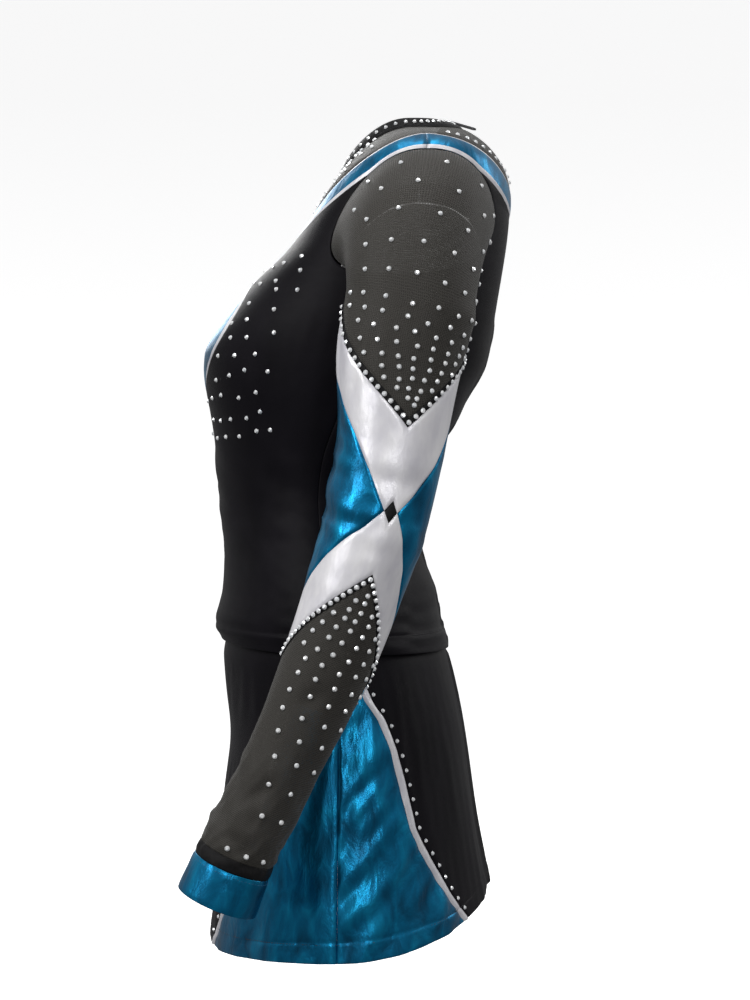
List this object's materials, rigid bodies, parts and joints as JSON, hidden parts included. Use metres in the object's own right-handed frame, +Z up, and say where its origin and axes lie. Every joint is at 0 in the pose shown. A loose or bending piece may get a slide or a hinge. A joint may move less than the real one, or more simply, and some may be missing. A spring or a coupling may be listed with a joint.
{
  "type": "cheerleading uniform",
  "caption": "Two-piece cheer uniform: long-sleeved fitted top with mesh yoke and chevron sleeves, zipped at the nape, and a short flared skirt.",
  "frame": {"origin": "inside the waist, on the mid plane, level with the narrowest place", "axes": "+Z up along the standing wearer, -Y the way the wearer faces, +X the wearer's left"},
  "size_m": [0.547, 0.2775, 0.7325],
  "materials": {
    "black_stretch": "satin",
    "black_mesh": "matte",
    "blue_foil": "gloss",
    "white_satin": "satin",
    "trim_black": "satin",
    "zip_tape": "matte",
    "zip_nylon": "satin",
    "zip_metal": "gloss",
    "rhinestone": "gloss"
  },
  "bodies": {
    "top": {"collar_band": "trim_black", "yoke_front": "black_mesh", "yoke_back_left": "black_mesh", "yoke_back_right": "black_mesh", "stripe_front": "blue_foil", "stripe_back_left": "blue_foil", "stripe_back_right": "blue_foil", "bodice_front": "black_stretch", "bodice_back_left": "black_stretch", "bodice_back_right": "black_stretch", "chest_inset": "blue_foil", "zip_tape_left": "zip_tape", "zip_tape_right": "zip_tape", "zip_coil_left": "zip_nylon", "zip_coil_right": "zip_nylon", "zip_bottom_stop": "zip_metal", "zip_top_stop_left": "zip_metal", "zip_top_stop_right": "zip_metal"},
    "zip_slider": {"zip_slider": "zip_metal"},
    "zip_pull": {"zip_pull": "zip_metal"},
    "skirt": {"waistband": "black_stretch", "skirt_front": "black_stretch", "skirt_back": "black_stretch", "left_front_piping": "white_satin", "left_back_piping": "white_satin", "left_side_front": "blue_foil", "left_side_back": "blue_foil", "right_front_piping": "white_satin", "right_back_piping": "white_satin", "right_side_front": "blue_foil", "right_side_back": "blue_foil"},
    "left_upper_sleeve": {"left_upper_mesh": "black_mesh", "left_upper_trim": "trim_black", "left_upper_chevron": "white_satin", "left_elbow_lozenge": "trim_black"},
    "left_forearm": {"left_elbow_panel": "blue_foil", "left_lower_chevron": "white_satin", "left_lower_trim": "trim_black", "left_forearm_mesh": "black_mesh", "left_wrist_trim": "trim_black", "left_cuff": "blue_foil"},
    "right_upper_sleeve": {"right_upper_mesh": "black_mesh", "right_upper_trim": "trim_black", "right_upper_chevron": "white_satin", "right_elbow_lozenge": "trim_black"},
    "right_forearm": {"right_elbow_panel": "blue_foil", "right_lower_chevron": "white_satin", "right_lower_trim": "trim_black", "right_forearm_mesh": "black_mesh", "right_wrist_trim": "trim_black", "right_cuff": "blue_foil"}
  },
  "joints": [
    {"name": "left_shoulder", "type": "hinge", "parent": "top", "child": "left_upper_sleeve", "pos_m": [0.185, 0.043, 0.262], "axis": [1, 0, 0], "range_deg": [-70, 35], "deforming": ["left_upper_mesh"]},
    {"name": "left_elbow", "type": "hinge", "parent": "left_upper_sleeve", "child": "left_forearm", "pos_m": [0.21, 0.001, -0.007], "axis": [1, 0, 0], "range_deg": [-80, 3], "deforming": ["left_elbow_panel"]},
    {"name": "right_shoulder", "type": "hinge", "parent": "top", "child": "right_upper_sleeve", "pos_m": [-0.185, 0.043, 0.262], "axis": [1, 0, 0], "range_deg": [-70, 35], "deforming": ["right_upper_mesh"]},
    {"name": "right_elbow", "type": "hinge", "parent": "right_upper_sleeve", "child": "right_forearm", "pos_m": [-0.21, 0.001, -0.007], "axis": [1, 0, 0], "range_deg": [-80, 3], "deforming": ["right_elbow_panel"]},
    {"name": "skirt_slide", "type": "slide", "parent": "top", "child": "skirt", "axis": [0, 0, 1], "range_m": [-0.25, 0]},
    {"name": "zip_slide", "type": "hinge", "parent": "top", "child": "zip_slider", "pos_m": [0, 0.047, 0.267], "axis": [1, 0, 0], "range_deg": [-84, 0]},
    {"name": "zip_pull_hinge", "type": "hinge", "parent": "zip_slider", "child": "zip_pull", "pos_m": [0, 0.06897, 0.34361], "axis": [1, 0, 0], "range_deg": [0, 150]}
  ]
}
